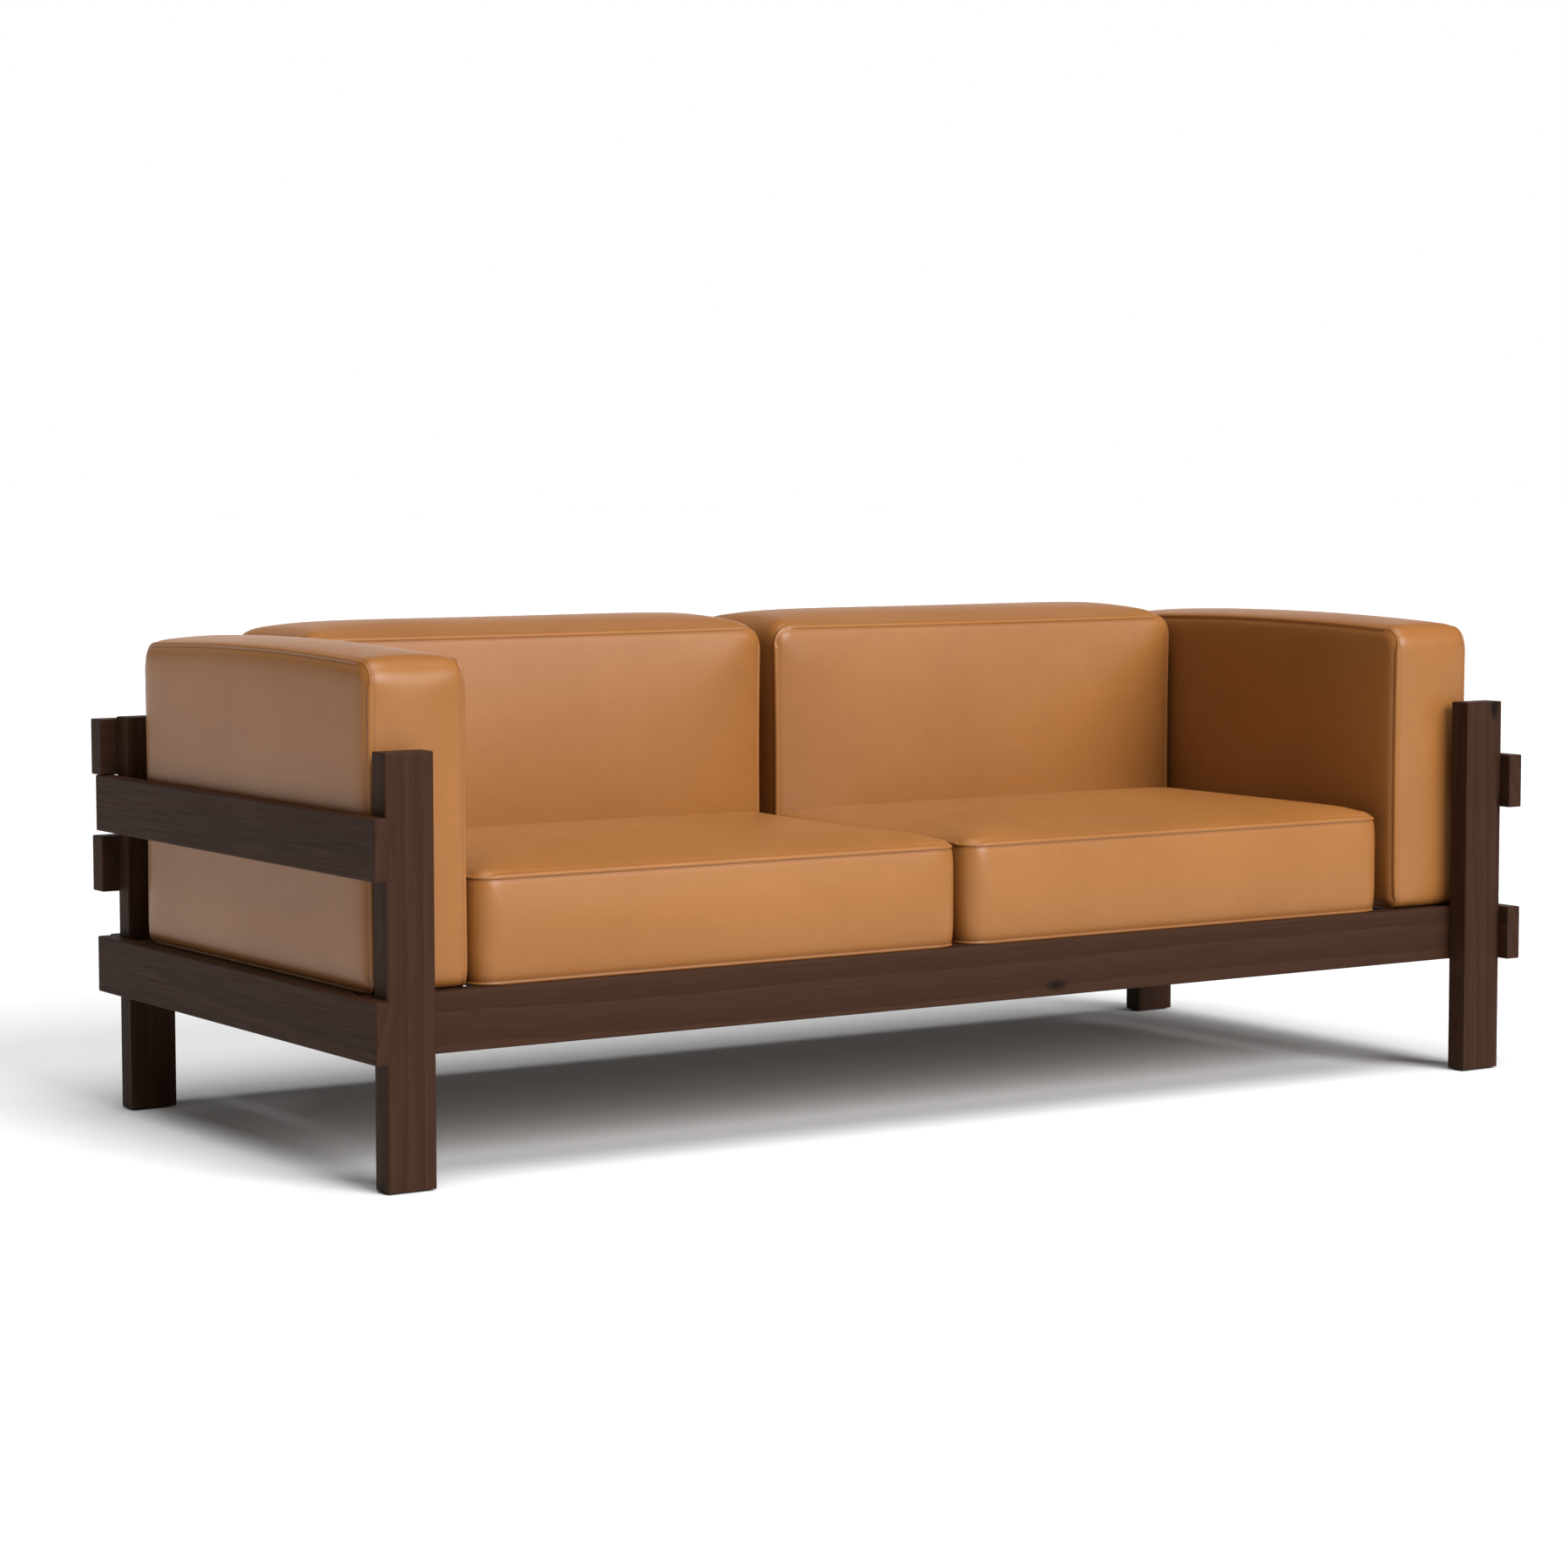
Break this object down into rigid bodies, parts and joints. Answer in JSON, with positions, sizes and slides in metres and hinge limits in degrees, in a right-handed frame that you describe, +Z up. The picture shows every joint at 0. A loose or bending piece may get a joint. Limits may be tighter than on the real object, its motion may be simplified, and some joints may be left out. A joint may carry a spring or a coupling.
{
  "type": "sofa",
  "caption": "Low two-seat sofa: lapped dark-stained timber frame of square posts and flat rails, with loose tan leather box cushions for seat, back and arms.",
  "frame": {"origin": "on the floor, under the middle of the sofa's overall box", "axes": "+X runs across the sofa to the right as seen from the front, +Y points to the back, +Z up"},
  "size_m": [1.96, 0.881, 0.695],
  "materials": {
    "frame_wood": "dark walnut stain, satin lacquer",
    "deck_wood": "walnut-stained pine, matt",
    "felt": "dark brown pressed felt",
    "cushion_leather": "smooth semi-aniline leather, tan",
    "dowel_wood": "bare beech",
    "insert_steel": "zinc plated",
    "bolt_steel": "black oxide",
    "screw_steel": "yellow zinc plated"
  },
  "bodies": {
    "frame": {"front_left_post": "frame_wood", "back_left_post": "frame_wood", "front_right_post": "frame_wood", "back_right_post": "frame_wood", "lower_left_side_rail": "frame_wood", "upper_left_side_rail": "frame_wood", "lower_right_side_rail": "frame_wood", "upper_right_side_rail": "frame_wood", "front_rail": "frame_wood", "lower_back_rail": "frame_wood", "middle_back_rail": "frame_wood", "top_back_rail": "frame_wood", "front_ledger": "deck_wood", "back_ledger": "deck_wood", "left_side_bearer": "deck_wood", "right_side_bearer": "deck_wood", "slat_01": "deck_wood", "slat_02": "deck_wood", "slat_03": "deck_wood", "slat_04": "deck_wood", "slat_05": "deck_wood", "slat_06": "deck_wood", "slat_07": "deck_wood", "slat_08": "deck_wood", "slat_09": "deck_wood", "slat_10": "deck_wood", "slat_11": "deck_wood", "slat_12": "deck_wood", "slat_13": "deck_wood", "front_left_felt_pad": "felt", "back_left_felt_pad": "felt", "front_right_felt_pad": "felt", "back_right_felt_pad": "felt", "dowels": "dowel_wood", "threaded_inserts": "insert_steel", "rail_bolt_washers": "bolt_steel", "rail_bolts": "bolt_steel", "slat_screws": "screw_steel", "ledger_screws": "screw_steel", "bearer_screws": "screw_steel"},
    "left_arm_cushion": {"left_arm_cushion": "cushion_leather"},
    "right_arm_cushion": {"right_arm_cushion": "cushion_leather"},
    "left_seat_cushion": {"left_seat_cushion": "cushion_leather"},
    "right_seat_cushion": {"right_seat_cushion": "cushion_leather"},
    "left_back_cushion": {"left_back_cushion": "cushion_leather"},
    "right_back_cushion": {"right_back_cushion": "cushion_leather"}
  },
  "joints": [
    {"name": "left_arm_cushion_lift", "type": "slide", "parent": "frame", "child": "left_arm_cushion", "axis": [0, 0, 1], "range_m": [0, 0.3]},
    {"name": "right_arm_cushion_lift", "type": "slide", "parent": "frame", "child": "right_arm_cushion", "axis": [0, 0, 1], "range_m": [0, 0.3]},
    {"name": "left_seat_cushion_lift", "type": "slide", "parent": "frame", "child": "left_seat_cushion", "axis": [0, 0, 1], "range_m": [0, 0.3]},
    {"name": "right_seat_cushion_lift", "type": "slide", "parent": "frame", "child": "right_seat_cushion", "axis": [0, 0, 1], "range_m": [0, 0.3]},
    {"name": "left_back_cushion_lift", "type": "slide", "parent": "frame", "child": "left_back_cushion", "axis": [0, 0, 1], "range_m": [0, 0.3]},
    {"name": "right_back_cushion_lift", "type": "slide", "parent": "frame", "child": "right_back_cushion", "axis": [0, 0, 1], "range_m": [0, 0.3]}
  ]
}
